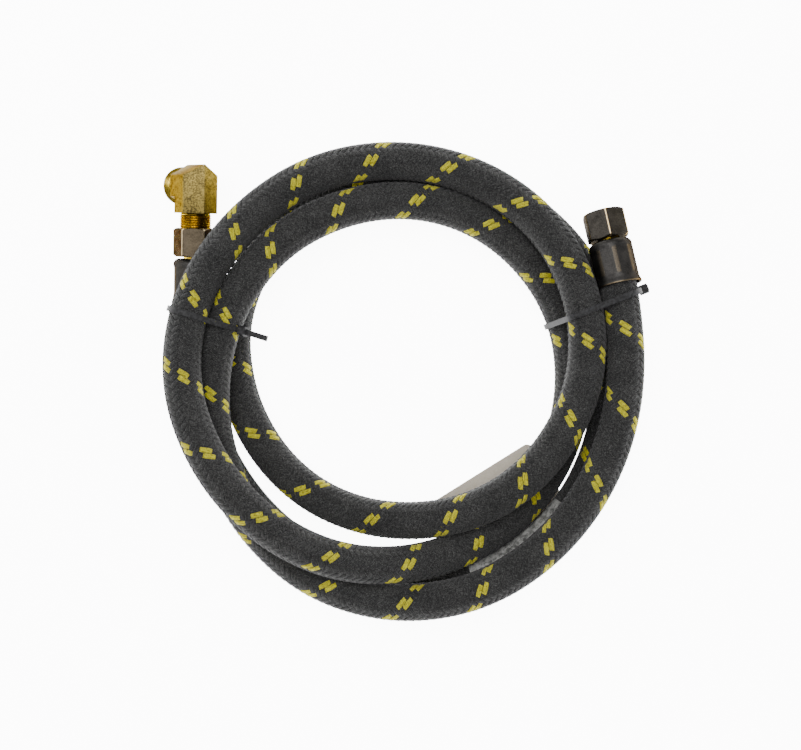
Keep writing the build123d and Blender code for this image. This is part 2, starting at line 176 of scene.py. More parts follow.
def carried_frame(tangents):
    """Side vectors square to each tangent, carried along without twist from an upright start."""
    side = np.array([0.0, 0.0, 1.0])
    sides = []
    for tangent in tangents:
        side = side - tangent * side.dot(tangent)
        side /= np.linalg.norm(side)
        sides.append(side)
    return np.array(sides)


sides = carried_frame(tangents)
binormals = np.cross(tangents, sides)
print("travelling frame at", len(sides), "points")


def on_hose(along, angle, radius):
    """Points at distances along the hose, at angles round it and at radii from its centre line."""
    centre, side, binormal = [
        np.column_stack([np.interp(along, distance, table[:, axis]) for axis in range(3)])
        for table in (centre_line, sides, binormals)
    ]
    outward = np.cos(angle)[:, None] * side + np.sin(angle)[:, None] * binormal
    return centre + radius[:, None] * outward, outward


# %% [markdown]
# ## Helpers for meshes
# Four helpers make nearly every piece. One turns lists of points into a smooth-shaded object, one joins
# rings of points into a skin, one makes an object from a grid of rings, and one merges points that fell
# together. Building from rings keeps every piece closed, and exact where it meets the CAD frame.

# %% Mesh helpers
MERGE_DISTANCE = 1e-6
SLIVER_DISTANCE = 1e-7


def make_object(name, vertices, faces, material=None, smooth=True, sharp=35):
    """A mesh object, smooth-shaded except across edges sharper than the given angle."""
    mesh = bpy.data.meshes.new(name)
    mesh.from_pydata([tuple(v) for v in vertices], [], [tuple(f) for f in faces])
    mesh.validate()
    piece = bpy.data.objects.new(name, mesh)
    bpy.context.scene.collection.objects.link(piece)
    if smooth:
        mesh.shade_smooth()
        mesh.set_sharp_from_angle(angle=math.radians(sharp))
    if material:
        mesh.materials.append(material)
    return piece


def skin(rows, columns, closed_rows=False, first=0):
    """Quads over rows of points; every row is a closed ring."""
    faces = []
    for row in range(rows if closed_rows else rows - 1):
        for column in range(columns):
            a = row * columns + column
            b = row * columns + (column + 1) % columns
            c = ((row + 1) % rows) * columns + (column + 1) % columns
            d = ((row + 1) % rows) * columns + column
            faces.append((first + a, first + b, first + c, first + d))
    return faces


def grid_object(name, points, material, closed_rows=False, edge=None):
    """An object whose skin runs over rings of points, with a number called edge if it is given."""
    rows, columns = points.shape[:2]
    faces = skin(rows, columns, closed_rows)
    if not closed_rows:
        faces += [tuple(range(columns))[::-1], tuple(range((rows - 1) * columns, rows * columns))]
    piece = make_object(name, points.reshape(-1, 3), faces, material)
    if edge is not None:
        wear_and_highlight_mask = piece.data.attributes.new("edge", "FLOAT", "POINT")
        wear_and_highlight_mask.data.foreach_set("value", edge.reshape(-1).astype(np.float32))
    return piece


def clean(piece, sharp=35):
    """Merges points that fell together and points every face outwards."""
    mesh = bmesh.new()
    mesh.from_mesh(piece.data)
    bmesh.ops.remove_doubles(mesh, verts=mesh.verts, dist=MERGE_DISTANCE)
    bmesh.ops.dissolve_degenerate(mesh, edges=mesh.edges, dist=SLIVER_DISTANCE)
    bmesh.ops.recalc_face_normals(mesh, faces=mesh.faces)
    mesh.to_mesh(piece.data)
    mesh.free()
    piece.data.shade_smooth()
    piece.data.set_sharp_from_angle(angle=math.radians(sharp))
    return piece


# %% [markdown]
# ## Helpers for finishes
# A finish is easier to read as arithmetic than as a web of nodes. A Signal is one value inside a
# material, and adding or multiplying signals adds the Math nodes that do it. A Finish is a material
# with one method that adds any other node.

# %% Signals and finishes
class Signal:
    """A value inside a material. Arithmetic on it adds Math nodes."""

    def __init__(self, finish, socket):
        self.finish = finish
        self.socket = socket

    def math(self, operation, *others):
        inputs = dict(enumerate((self,) + others))
        return self.finish.node("Math", {"operation": operation}, inputs)

    def __add__(self, other):
        return self.math("ADD", other)

    def __sub__(self, other):
        return self.math("SUBTRACT", other)

    def __mul__(self, other):
        return self.math("MULTIPLY", other)

    def __rsub__(self, other):
        return self * -1 + other

    def ramp(self, low, high):
        """0 below low, 1 above high and smooth between."""
        inputs = {"Value": self, "From Min": low, "From Max": high}
        return self.finish.node("MapRange", {"interpolation_type": "SMOOTHSTEP"}, inputs)

    __radd__ = __add__
    __rmul__ = __mul__


class Finish:
    """A material. Keyword values are set on its shader's own sockets."""

    def __init__(self, name, **constants):
        self.material = bpy.data.materials.new(name)
        self.material.use_nodes = True
        self.tree = self.material.node_tree
        self.shader = self.tree.nodes["Principled BSDF"]
        for socket, value in constants.items():
            self.feed(self.shader.inputs[socket.replace("_", " ")], value)

    def feed(self, socket, value):
        if isinstance(value, Signal):
            self.tree.links.new(value.socket, socket)
        elif isinstance(value, tuple) and len(value) == 3 and socket.type == "RGBA":
            socket.default_value = (*value, 1)
        else:
            socket.default_value = value

    def node(self, kind, settings=None, inputs=None, output=0):
        """Adds a node: its settings first, then the values or links of its sockets."""
        node = self.tree.nodes.new("ShaderNode" + kind)
        for setting, value in (settings or {}).items():
            setattr(node, setting, value)
        for socket, value in (inputs or {}).items():
            self.feed(node.inputs[socket], value)
        return Signal(self, node.outputs[output])

    def shade(self, **signals):
        for socket, value in signals.items():
            self.feed(self.shader.inputs[socket.replace("_", " ")], value)

    def place(self):
        """Where a point is on the piece, in metres."""
        return self.node("TexCoord", output=3)

    def attribute(self, name):
        return self.node("Attribute", {"attribute_name": name}, output=2)

    def noise(self, vector, scale, detail=4.0, roughness=0.5):
        inputs = {"Vector": vector, "Scale": scale, "Detail": detail, "Roughness": roughness}
        return self.node("TexNoise", None, inputs)

    def blend(self, factor, first, second):
        """A colour between two colours."""
        return self.node("Mix", {"data_type": "RGBA"}, {0: factor, 6: first, 7: second}, 2)

    def relief(self, height, distance, strength=1.0):
        """Bump of this depth in metres, fed to the shader."""
        inputs = {"Height": height, "Distance": distance, "Strength": strength}
        self.shade(Normal=self.node("Bump", None, inputs))


# %% [markdown]
# ## Cotton yarn
# The cover is woven from cotton yarns. A yarn is a flat bundle of fibres, so its finish has fine
# streaks along the yarn, a dull fuzzy surface and a soft sheen. Noise in space alone would ignore the
# yarn's direction. Two numbers stored on the mesh, the distance along the yarn and the place across it,
# carry the streaks round every bend.

# %% Cotton finish
FIBRES_ACROSS = 7
FIBRE_WAVES, FIBRE_DRIFT = 900, 60
STREAK_SCALE = 1.6
FUZZ_SCALE = 1900
PATCH_SCALE = 90
YARN_BUMP = 0.00022


def cotton(name, dark, light, streak_gain):
    """Yarn between a dark and a light colour; the gain says how strongly single fibres show."""
    finish = Finish(name, Roughness=0.95, Sheen_Weight=0.06, Sheen_Roughness=0.5, Specular_IOR_Level=0.08)
    along, across = finish.attribute("along"), finish.attribute("across")
    fibre_place = finish.node(
        "CombineXYZ", None, {0: across * FIBRES_ACROSS, 1: along * FIBRE_WAVES, 2: along * FIBRE_DRIFT}
    )
    streaks = finish.noise(fibre_place, STREAK_SCALE, 3, 0.6)
    fuzz = finish.noise(finish.place(), FUZZ_SCALE, 4, 0.75)
    patches = finish.noise(finish.place(), PATCH_SCALE, 3)
    tone = streaks.ramp(0.32, 0.72) * streak_gain + fuzz.ramp(0.36, 0.72) * 0.6 + patches * 0.3 - 0.25
    finish.shade(Base_Color=finish.blend(tone.ramp(0.0, 1.0), dark, light))
    finish.relief(streaks * 0.5 + fuzz * 0.8, YARN_BUMP)
    return finish.material


COTTON_BLACK = cotton("cotton black", (0.006, 0.006, 0.006), (0.066, 0.066, 0.064), 0.3)
COTTON_YELLOW = cotton("cotton yellow", (0.085, 0.065, 0.001), (0.36, 0.34, 0.022), 0.9)
print("cotton finishes made")

# %% [markdown]
# ## The woven cover
# Twenty-four yarns cover the hose: twelve wind to the left and twelve to the right, one turn every
# 35 mm. Each yarn runs over two others and then under two, which is the usual weave on a textile hose.
# Every yarn is real geometry here, a flat lens-shaped section swept along its own wavy helix, so the
# cover keeps its relief at the edge of the hose where a bump would look flat. Two neighbouring
# left-hand yarns are yellow. They only show where they run over, as pairs of short dashes.

# %% Weave
LAY_LENGTH = 35.24 * MM
YARNS_EACH_WAY = 12
YARN_WIDTH = 2.5 * MM
YARN_THICKNESS = 0.8 * MM
OVER_R = HOSE_R - YARN_THICKNESS / 2
DIVE = 0.56 * MM
UNDER_R = OVER_R - DIVE
SAMPLES_PER_TURN = 24
WEAVE_START = 14.4 * MM
WEAVE_TURN = math.radians(-1.4)
TRACERS = [0, 1]
TRACER_WIDTH = 2.3 * MM
STEEPNESS = 3.2
SECTION = [(1.0, 0.1), (0.72, 0.9), (-0.72, 0.9), (-1.0, 0.1), (-0.6, -0.9), (0.6, -0.9)]
SMOOTH_EVERYWHERE = 180


def yarn(index, hand, width):
    """Rings of points of one yarn, and their distances along it. Hand is -1 left or +1 right."""
    samples = int(HOSE_LENGTH / LAY_LENGTH * SAMPLES_PER_TURN)
    along = np.linspace(0, HOSE_LENGTH, samples)
    turns = (along + WEAVE_START) / LAY_LENGTH
    angle = 2 * math.pi * (index / YARNS_EACH_WAY + hand * turns) + WEAVE_TURN
    crossing = 2 * index + hand * 2 * YARNS_EACH_WAY * turns
    wave = np.tanh(STEEPNESS * np.cos(math.pi / 2 * (crossing - 0.5))) / math.tanh(STEEPNESS)
    radius = (OVER_R + UNDER_R) / 2 - hand * wave * (OVER_R - UNDER_R) / 2
    centre, outward = on_hose(along, angle, radius)
    ahead = np.gradient(centre, along, axis=0)
    ahead /= np.linalg.norm(ahead, axis=1)[:, None]
    across = np.cross(outward, ahead)
    across /= np.linalg.norm(across, axis=1)[:, None]
    upward = np.cross(ahead, across)
    rings = np.stack(
        [centre + u * width / 2 * across + v * YARN_THICKNESS / 2 * upward for u, v in SECTION], axis=1
    )
    return rings, along


def weave(name, indices, hand, material, width=YARN_WIDTH):
    """All yarns with these numbers as one piece, with the finish's two numbers on each point."""
    points, faces, alongs, acrosses = [], [], [], []
    for index in indices:
        rings, along = yarn(index, hand, width)
        rows, columns = rings.shape[:2]
        first = len(points) * rows * columns
        faces += skin(rows, columns, first=first)
        last = first + (rows - 1) * columns
        faces += [tuple(range(first, first + columns))[::-1], tuple(range(last, last + columns))]
        points.append(rings.reshape(-1, 3))
        alongs.append(np.repeat(along, columns) + index)
        acrosses.append(np.tile([u for u, v in SECTION], rows) + 3 * index)
    piece = make_object(name, np.concatenate(points), faces, material, sharp=SMOOTH_EVERYWHERE)
    for label, values in (("along", alongs), ("across", acrosses)):
        attribute = piece.data.attributes.new(label, "FLOAT", "POINT")
        attribute.data.foreach_set("value", np.concatenate(values).astype(np.float32))
    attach(piece, "hose")
    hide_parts("outer_braid")
    print(name, len(piece.data.polygons), "faces")
    return piece


PLAIN = [index for index in range(YARNS_EACH_WAY) if index not in TRACERS]
weave("hose_yarns_left_hand", PLAIN, -1, COTTON_BLACK)
right_yarns = weave("hose_yarns_right_hand", range(YARNS_EACH_WAY), 1, COTTON_BLACK)
weave("hose_tracer_yarns", TRACERS, -1, COTTON_YELLOW, TRACER_WIDTH)

# %% [markdown]
# ## The fittings' frames
# Everything on a fitting is turned about one axis, as on a lathe, so it is easiest to build along +Z
# from the mouth of the ferrule and then to place it. The frames below are those of the two fittings
# and the elbow. A turned piece is a closed loop of (radius, height) rows with 144 points round each.

# %% Frames
OUTLET_TURN = math.radians(31.0)
ELBOW_CENTRE = 53.1
ROUND_STEPS = 144
ANGLES = np.linspace(0, 2 * math.pi, ROUND_STEPS, endpoint=False)
TURNED_SHARP = 28


def fitting_frame(mouth, axis, aim):
    """Matrix with +Z out of the hose and +X as near to aim as a right angle allows."""
    z = Vector(axis)
    x = (Vector(aim) - z * z.dot(Vector(aim))).normalized()
    y = z.cross(x)
    frame_matrix = Matrix((x, y, z)).transposed().to_4x4()
    frame_matrix.translation = Vector(mouth) * MM
    return frame_matrix


AIM = (-math.sin(OUTLET_TURN), 0, -math.cos(OUTLET_TURN))
FRAME_A = fitting_frame(MOUTH_A, AXIS_A, AIM)
FRAME_B = fitting_frame(MOUTH_B, AXIS_B, (0, 0, 1))
FRAME_ELBOW = FRAME_A @ Matrix.Translation((0, 0, ELBOW_CENTRE * MM))


def settle(piece, matrix, body, node):
    """Places a piece built along +Z, ties it to its body and hides the CAD node it stands for."""
    piece.data.transform(matrix)
    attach(piece, body)
    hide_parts(node)
    return piece


def turned_piece(name, rows, material, edge=None):
    """A piece from rows of (radius, height) in mm; a radius may vary round the row."""
    points = []
    for radius, height in rows:
        radius = np.broadcast_to(radius, ANGLES.shape)
        height = np.broadcast_to(height, ANGLES.shape)
        points.append(np.column_stack([radius * np.cos(ANGLES), radius * np.sin(ANGLES), height]))
    piece = grid_object(name, np.array(points) * MM, material, closed_rows=True, edge=edge)
    return clean(piece, TURNED_SHARP)


def polygon_radius(flat_distance, sides):
    """Radius of a polygon with a corner on +X, at each angle."""
    sector = 2 * math.pi / sides
    local = (ANGLES % sector) - sector / 2
    return flat_distance / np.cos(local)


# %% [markdown]
# ## Metals
# Image textures could be wrapped on, but noise and arithmetic fit any shape and any distance. The
# elbow is brass that was forged and machined, with fine speckles on the flats and clean bright threads.
# The nuts have a dark plating that has rubbed through on the corners, so their finish reads a number
# called edge, stored on the mesh, which is 1 on a corner. The ferrules are black, and on them the same
# number paints a highlight: a lighter colour on the crimp ridges, the shoulder and the flared mouth.

# %% Metal finishes
SPECKLE_SCALE, BRASS_CLOUD_SCALE = 1500, 260
GRAIN_SCALE, PLATING_CLOUD_SCALE = 1800, 190
BRASS_BUMP, PLATING_BUMP = 0.00005, 0.00006


def brass(name, dark, light, rough):
    """Bare brass, speckled and clouded between a dark and a light colour."""
    finish = Finish(name, Metallic=1.0, Specular_Tint=(0.36, 0.33, 0.26))
    speckle = finish.noise(finish.place(), SPECKLE_SCALE, 3, 0.7)
    cloud = finish.noise(finish.place(), BRASS_CLOUD_SCALE, 4, 0.6)
    tone = (speckle * 1.1 + cloud * 0.5 - 0.3).ramp(0.28, 0.72)
    finish.shade(Base_Color=finish.blend(tone, dark, light), Roughness=rough + cloud * 0.16)
    finish.relief(speckle * 0.6 + cloud * 0.4, BRASS_BUMP, 0.5)
    return finish.material


def plated(name, dark, light, bare_and_highlight, rough):
    """Plating lightened where the mesh says edge: rubbed through to the metal on the nuts, a painted
    highlight on the ferrules.
    """
    finish = Finish(name, Metallic=1.0, Specular_Tint=(0.3, 0.27, 0.22))
    grain = finish.noise(finish.place(), GRAIN_SCALE, 4, 0.65)
    cloud = finish.noise(finish.place(), PLATING_CLOUD_SCALE, 4, 0.6)
    # edge lightens the plating: rubbed-through metal on the nuts, painted highlight on the ferrules
    wear_and_highlight_mask = (finish.attribute("edge") * 1.1 + grain * 0.5 - 0.45).ramp(0.25, 0.75)
    plating = finish.blend((grain * 0.6 + cloud * 0.6 - 0.1).ramp(0.2, 0.8), dark, light)
    finish.shade(Base_Color=finish.blend(wear_and_highlight_mask, plating, bare_and_highlight))
    finish.shade(Roughness=rough + cloud * 0.2 - wear_and_highlight_mask * 0.12)
    finish.relief(grain * 0.7 + cloud * 0.3, PLATING_BUMP, 0.5)
    return finish.material


BRASS = brass("forged brass", (0.021, 0.016, 0.006), (0.135, 0.100, 0.028), 0.36)
BRASS_THREAD = brass("machined brass", (0.14, 0.085, 0.004), (0.40, 0.29, 0.04), 0.16)
PLATED = plated("dark plating", (0.010, 0.008, 0.005), (0.055, 0.044, 0.030), (0.30, 0.24, 0.15), 0.34)
BRONZE = plated("bronze plating", (0.010, 0.009, 0.008), (0.048, 0.044, 0.038), (0.36, 0.27, 0.15), 0.36)
# on the ferrules the third colour is a painted highlight on the ridges, shoulder and mouth
BLACKENED = plated(
    "blackened steel", (0.012, 0.012, 0.012), (0.040, 0.038, 0.036), (0.07, 0.055, 0.035), 0.42
)
print("metal finishes made")

# %% [markdown]
# ## Threads
# A thread is a V-shaped ridge that climbs one pitch each turn. It could be a bump on a plain bar, but
# then it would vanish at the outline. The rows of this skin follow the helix instead, so the crest and
# the root are clean lines, and both ends fade out.

# %% Thread rows
THREAD_PITCH = 1.0583
PIPE_PITCH = 1.411
RIDGE = (0.0, 0.5, 1.0, 0.5)
ROWS_PER_PITCH = len(RIDGE)
FADE_PITCHES = 0.8


def thread_rows(major_r, depth, pitch, start, end):
    """Rows of a helical thread between two heights; a negative depth cuts a thread in a bore."""
    climb = ANGLES / (2 * math.pi)
    rows = []
    count = int((end - start) / pitch * ROWS_PER_PITCH) + ROWS_PER_PITCH
    for step in range(-ROWS_PER_PITCH, count + 1):
        height = start + (step / ROWS_PER_PITCH + climb) * pitch
        ridge = RIDGE[step % ROWS_PER_PITCH]
        fade = np.clip(np.minimum(height - start, end - height) / (FADE_PITCHES * pitch), 0, 1)
        radius = major_r - depth * (1 - ridge * fade)
        rows.append((radius, np.clip(height, start, end)))
    return rows


# %% [markdown]
# ## Swivel nuts
# A nut is a hexagon bar whose corners are turned off at both ends, which leaves the arched line on each
# flat. Cutting a bar with a cone would give the same line on an untidier mesh. Here the skin takes, at
# each angle and height, the smaller of the hexagon and the turned cone. The bore has a real thread in
# front and a plain rear wall that runs on the neck.

# %% Swivel nuts
NUT_AF = 17.46
NUT_START = 21.4
NUT_END = 34.2
NUT_SHOULDER = 24.4
NUT_RELIEF_END = 29.5
NUT_RELIEF_R = 7.595
NUT_THREAD_R = 7.245
NUT_BORE_R = 5.2
NUT_THREAD_DEPTH = 0.45
CORNER_BREAK = 0.985
FACE_SHARE = 0.985
CONE_SLOPE = 0.62
CONE_OFFSETS = [0, 0.12, 0.25, 0.4, 0.55, 0.7, 0.85, 1.05]
FLAT_SHARES = (0.2, 0.4, 0.6, 0.8)
CORNER_SHARPNESS = 12
REAR_WEAR, FRONT_WEAR = 0.35, 0.5
MOUTH_CHAMFER, CHAMFER_DEPTH, THREAD_SETBACK = 0.75, 0.4, 0.5
BORE_BREAK = 0.3


def nut_cone(hexagon):
    """For each row of a chamfer: its offset from the end face, its radius, and where the cone cuts."""
    rows = []
    for offset in CONE_OFFSETS:
        limit = NUT_AF / 2 * FACE_SHARE + offset / CONE_SLOPE
        rows.append((offset, np.minimum(hexagon, limit), limit < hexagon))
    return rows


def make_nut(name, body, node, matrix, material):
    """A hexagon nut with turned ends and a threaded bore, on its fitting's axis."""
    corner_r = NUT_AF / math.sqrt(3) * CORNER_BREAK
    hexagon = np.minimum(polygon_radius(NUT_AF / 2, 6), corner_r)
    corner = np.clip((hexagon - NUT_AF / 2) / (corner_r - NUT_AF / 2), 0, 1) ** CORNER_SHARPNESS
    cone = nut_cone(hexagon)
    rows = [(radius, NUT_START + offset) for offset, radius, cut in cone]
    wear_and_highlight = [np.maximum(corner, np.where(cut, REAR_WEAR, 0)) for offset, radius, cut in cone]
    rows += [(hexagon, NUT_START + share * (NUT_END - NUT_START)) for share in FLAT_SHARES]
    wear_and_highlight += [corner] * len(FLAT_SHARES)
    rows += [(radius, NUT_END - offset) for offset, radius, cut in cone[::-1]]
    wear_and_highlight += [np.maximum(corner, np.where(cut, FRONT_WEAR, 0)) for offset, radius, cut in cone[::-1]]
    thread_end = NUT_END - THREAD_SETBACK
    bore = [(NUT_THREAD_R + MOUTH_CHAMFER, NUT_END)]
    bore += [(NUT_THREAD_R + NUT_THREAD_DEPTH, NUT_END - CHAMFER_DEPTH)]
    bore += thread_rows(NUT_THREAD_R, -NUT_THREAD_DEPTH, THREAD_PITCH, NUT_RELIEF_END, thread_end)[::-1]
    bore += [(NUT_RELIEF_R, NUT_RELIEF_END - BORE_BREAK), (NUT_RELIEF_R, NUT_SHOULDER)]
    bore += [(NUT_BORE_R, NUT_SHOULDER), (NUT_BORE_R, NUT_START + BORE_BREAK)]
    bore += [(NUT_BORE_R + BORE_BREAK, NUT_START)]
    rows += bore
    wear_and_highlight += [np.zeros(ROUND_STEPS)] * len(bore)
    piece = turned_piece(name, rows, material, edge=np.array(wear_and_highlight))
    return settle(piece, matrix, body, node)


nut_a = make_nut("nut_a_hexagon", "nut_a", "swivel_nut_a", FRAME_A, PLATED)
nut_b = make_nut("nut_b_hexagon", "nut_b", "swivel_nut_b", FRAME_B, BRONZE)
print("nuts", [len(piece.data.polygons) for piece in (nut_a, nut_b)], "faces")

# %% [markdown]
# ## Crimped ferrules
# A ferrule is a short steel sleeve squeezed on the hose by a ring of jaws. Each jaw leaves a long flat,
# and a ridge of the sleeve stays up between two jaws. A bump could draw the ridges, but they show at
# the outline, so the skin itself has them. Both ends stay round: a flared mouth on the hose side and a
# rounded shoulder at the nut.

# %% Ferrules
FERRULE_LENGTH = 20.5
FERRULE_R = 9.7
BELL_R = 10.3
FERRULE_IN_R = 8.55
NECK_HOLE_R = 5.05
FERRULE_FLOOR = 1.6
CRIMP_START, CRIMP_END = 3.2, 17.8
CRIMP_BLEND = 1.6
CRIMP_FLATS = 8
CRIMP_DEPTH = 0.38
CRIMP_ROWS = 25
RIDGE_BAND = 0.12
# painted highlight: a lighter colour along the crimp ridges
RIDGE_HIGHLIGHT = 0.6
SHOULDER = 2.6
SHOULDER_ROWS = 9
# painted highlight: a lighter colour on the rounded shoulder and the flared bell
SHOULDER_HIGHLIGHT = 0.3
BELL_START, BELL_END, BELL_HIGHLIGHT = 0.5, 3.0, 0.25
BELL_HEIGHTS = (0.9, 1.5, 2.1, 2.7)
HOLE_BREAK = 0.2
LIP = [(FERRULE_IN_R + 0.65, 0.12), (BELL_R - 0.3, 0), (BELL_R - 0.08, 0.12), (BELL_R, 0.4)]
# painted highlight: a lighter colour round the bell's lip
LIP_HIGHLIGHT = [0, 0.5, 0.9, 0.9]
MOUTH_DEPTH = 1.3


def smooth(value, low, high):
    """0 below low, 1 above high and smooth between."""
    share = np.clip((value - low) / (high - low), 0, 1)
    return share * share * (3 - 2 * share)


def make_ferrule(end, matrix):
    """A crimped sleeve from its flared mouth, at height 0, to its shoulder and back inside."""
    flats = np.minimum(polygon_radius(FERRULE_R - CRIMP_DEPTH, CRIMP_FLATS), FERRULE_R)
    ridge = smooth(flats, FERRULE_R - RIDGE_BAND, FERRULE_R)
    # on the ferrule these edge rows are painted highlight on the lip, bell, crimp ridges and shoulder
    rows, wear_and_highlight = LIP.copy(), LIP_HIGHLIGHT.copy()
    for height in BELL_HEIGHTS:
        share = smooth(height, BELL_START, BELL_END)
        rows.append((BELL_R + share * (FERRULE_R - BELL_R), height))
        wear_and_highlight.append(BELL_HIGHLIGHT * (1 - share))
    for height in np.linspace(CRIMP_START, CRIMP_END, CRIMP_ROWS):
        pressed = smooth(height, CRIMP_START, CRIMP_START + CRIMP_BLEND)
        pressed *= 1 - smooth(height, CRIMP_END - CRIMP_BLEND, CRIMP_END)
        rows.append((FERRULE_R + pressed * (flats - FERRULE_R), height))
        wear_and_highlight.append(RIDGE_HIGHLIGHT * pressed * ridge)
    for turn in np.radians(np.linspace(0, 90, SHOULDER_ROWS)):
        radius = FERRULE_R - SHOULDER * (1 - math.cos(turn))
        rows.append((radius, FERRULE_LENGTH - SHOULDER * (1 - math.sin(turn))))
        wear_and_highlight.append(SHOULDER_HIGHLIGHT)
    floor_height = FERRULE_LENGTH - FERRULE_FLOOR
    inside = [(NECK_HOLE_R + HOLE_BREAK, FERRULE_LENGTH), (NECK_HOLE_R, FERRULE_LENGTH - HOLE_BREAK)]
    inside += [(NECK_HOLE_R, floor_height), (FERRULE_IN_R, floor_height), (FERRULE_IN_R, MOUTH_DEPTH)]
    rows += inside
    wear_and_highlight += [0.0] * len(inside)
    edge = np.array([np.broadcast_to(value, (ROUND_STEPS,)) for value in wear_and_highlight])
    piece = turned_piece(f"ferrule_{end}_crimped", rows, BLACKENED, edge=edge)
    return settle(piece, matrix, "hose", f"ferrule_{end}")


ferrule_a = make_ferrule("a", FRAME_A)
ferrule_b = make_ferrule("b", FRAME_B)
print("ferrules", len(ferrule_a.data.polygons), "faces each")

# %% [markdown]
# ## Brass elbow
# The elbow's two legs are hexagonal bars that meet in a mitre. A boolean of two bars would do, but three
# rings of six corners describe them exactly, and a small bevel rounds their edges as forging does. Each
# leg ends in a round neck and a thread, which are turned pieces with an open water way.

# %% Elbow body
ELBOW_AF = 16.7
HEX_R = ELBOW_AF / math.sqrt(3)
INLET_HEX = 12.2
INLET_NECK = 0.4
INLET_END = 23.6
INLET_THREAD_DEPTH = 0.6
OUTLET_HEX = 9.8
OUTLET_NECK = 1.0
OUTLET_END = 18.9
PIPE_THREAD_DEPTH = 0.8
INLET_THREAD_R = 7.145
PIPE_THREAD_R = 8.575
NECK_UNDERCUT = 0.65
INLET_BORE_R = 4.0
OUTLET_BORE_R = 5.25
FORGED_BEVEL = 0.42
BEVEL_SEGMENTS = 3
BEVEL_PROFILE = 0.6
BEVEL_OVER = math.radians(20)
BODY_SHARP = math.radians(40)
TO_INLET = Matrix.Rotation(math.pi, 4, "X")
TO_OUTLET = Matrix.Rotation(math.pi / 2, 4, "Y")


def elbow_body():
    """Two hexagonal legs, along -Z and +X, joined on the mitre plane."""
    corners = [(HEX_R * math.cos(turn), HEX_R * math.sin(turn)) for turn in np.radians(range(0, 360, 60))]
    rings = [
        [(x, y, -INLET_HEX) for x, y in corners],
        [(x, y, -x) for x, y in corners],
        [(OUTLET_HEX, y, -x) for x, y in corners],
    ]
    points = np.array(rings) * MM
    piece = make_object(
        "elbow_body",
        points.reshape(-1, 3),
        skin(3, 6) + [tuple(range(6))[::-1], tuple(range(12, 18))],
        BRASS,
    )
    mesh = bmesh.new()
    mesh.from_mesh(piece.data)
    bmesh.ops.recalc_face_normals(mesh, faces=mesh.faces)
    sharp = [edge for edge in mesh.edges if edge.calc_face_angle(0) > BEVEL_OVER]
    bmesh.ops.bevel(
        mesh, geom=sharp, offset=FORGED_BEVEL * MM, segments=BEVEL_SEGMENTS, profile=BEVEL_PROFILE,
        affect="EDGES", clamp_overlap=True,
    )
    mesh.to_mesh(piece.data)
    mesh.free()
    piece.data.shade_smooth()
    piece.data.set_sharp_from_angle(angle=BODY_SHARP)
    return settle(piece, FRAME_ELBOW, "elbow", "elbow")


ROOT_LENGTH = 4
NECK_RUN_IN, THREAD_RUN_IN, THREAD_RUN_OUT = 0.3, 0.2, 0.5
TIP = [(0.1, 0.3), (0.5, 0.0)]
BORE_MOUTH = 0.35


def leg_end(name, matrix, hex_end, neck, end, major_r, bore_r, pitch, depth):
    """Neck and thread of one leg, along +Z from inside the hexagon."""
    neck_r = major_r - NECK_UNDERCUT
    neck_end = hex_end + neck
    rows = [(bore_r, hex_end - ROOT_LENGTH), (neck_r, hex_end - ROOT_LENGTH)]
    rows += [(neck_r, neck_end - NECK_RUN_IN)]
    rows += thread_rows(major_r, depth, pitch, neck_end - THREAD_RUN_IN, end - THREAD_RUN_OUT)
    rows += [(major_r - depth - drop, end - setback) for drop, setback in TIP]
    rows += [(bore_r + BORE_MOUTH, end), (bore_r, end - BORE_MOUTH)]
    piece = turned_piece(name, rows, BRASS_THREAD)
    return settle(piece, FRAME_ELBOW @ matrix, "elbow", "elbow")


body = elbow_body()
inlet_thread = leg_end(
    "elbow_inlet_thread", TO_INLET, INLET_HEX, INLET_NECK, INLET_END,
    INLET_THREAD_R, INLET_BORE_R, THREAD_PITCH, INLET_THREAD_DEPTH,
)
outlet_thread = leg_end(
    "elbow_outlet_thread", TO_OUTLET, OUTLET_HEX, OUTLET_NECK, OUTLET_END,
    PIPE_THREAD_R, OUTLET_BORE_R, PIPE_PITCH, PIPE_THREAD_DEPTH,
)
print("elbow", [len(piece.data.polygons) for piece in (body, inlet_thread, outlet_thread)], "faces")

# %% [markdown]
# ## Finishes for the CAD pieces that stay
# The ties, the label, the stems, the seals and the two inner layers already have their real shape, so
# they keep it and only get a finish. Moulded nylon is nearly black, with a dull sheen and a faint
# orange-peel. The label is a film: silver-grey where it wraps the hose, and a warmer paper on the flag,
# which lies lowest, so the finish tells them apart by height.

# %% Nylon, film, rubber and textile finishes
MOTTLE_SCALE = 900
CREASE_SCALE, FLECK_SCALE = 420, 2300
FLAG_TOP, WRAP_START = 0.0015, 0.006
RUBBER_SCALE, PLY_SCALE = 1200, 1500


def nylon():
    finish = Finish("black nylon", Specular_IOR_Level=0.1)
    mottle = finish.noise(finish.place(), MOTTLE_SCALE, 3)
    tone = mottle.ramp(0.3, 0.7)
    finish.shade(Base_Color=finish.blend(tone, (0.007, 0.007, 0.007), (0.020, 0.020, 0.021)))
    finish.shade(Roughness=mottle * 0.14 + 0.5)
    finish.relief(mottle, 0.00004, 0.4)
    return finish.material


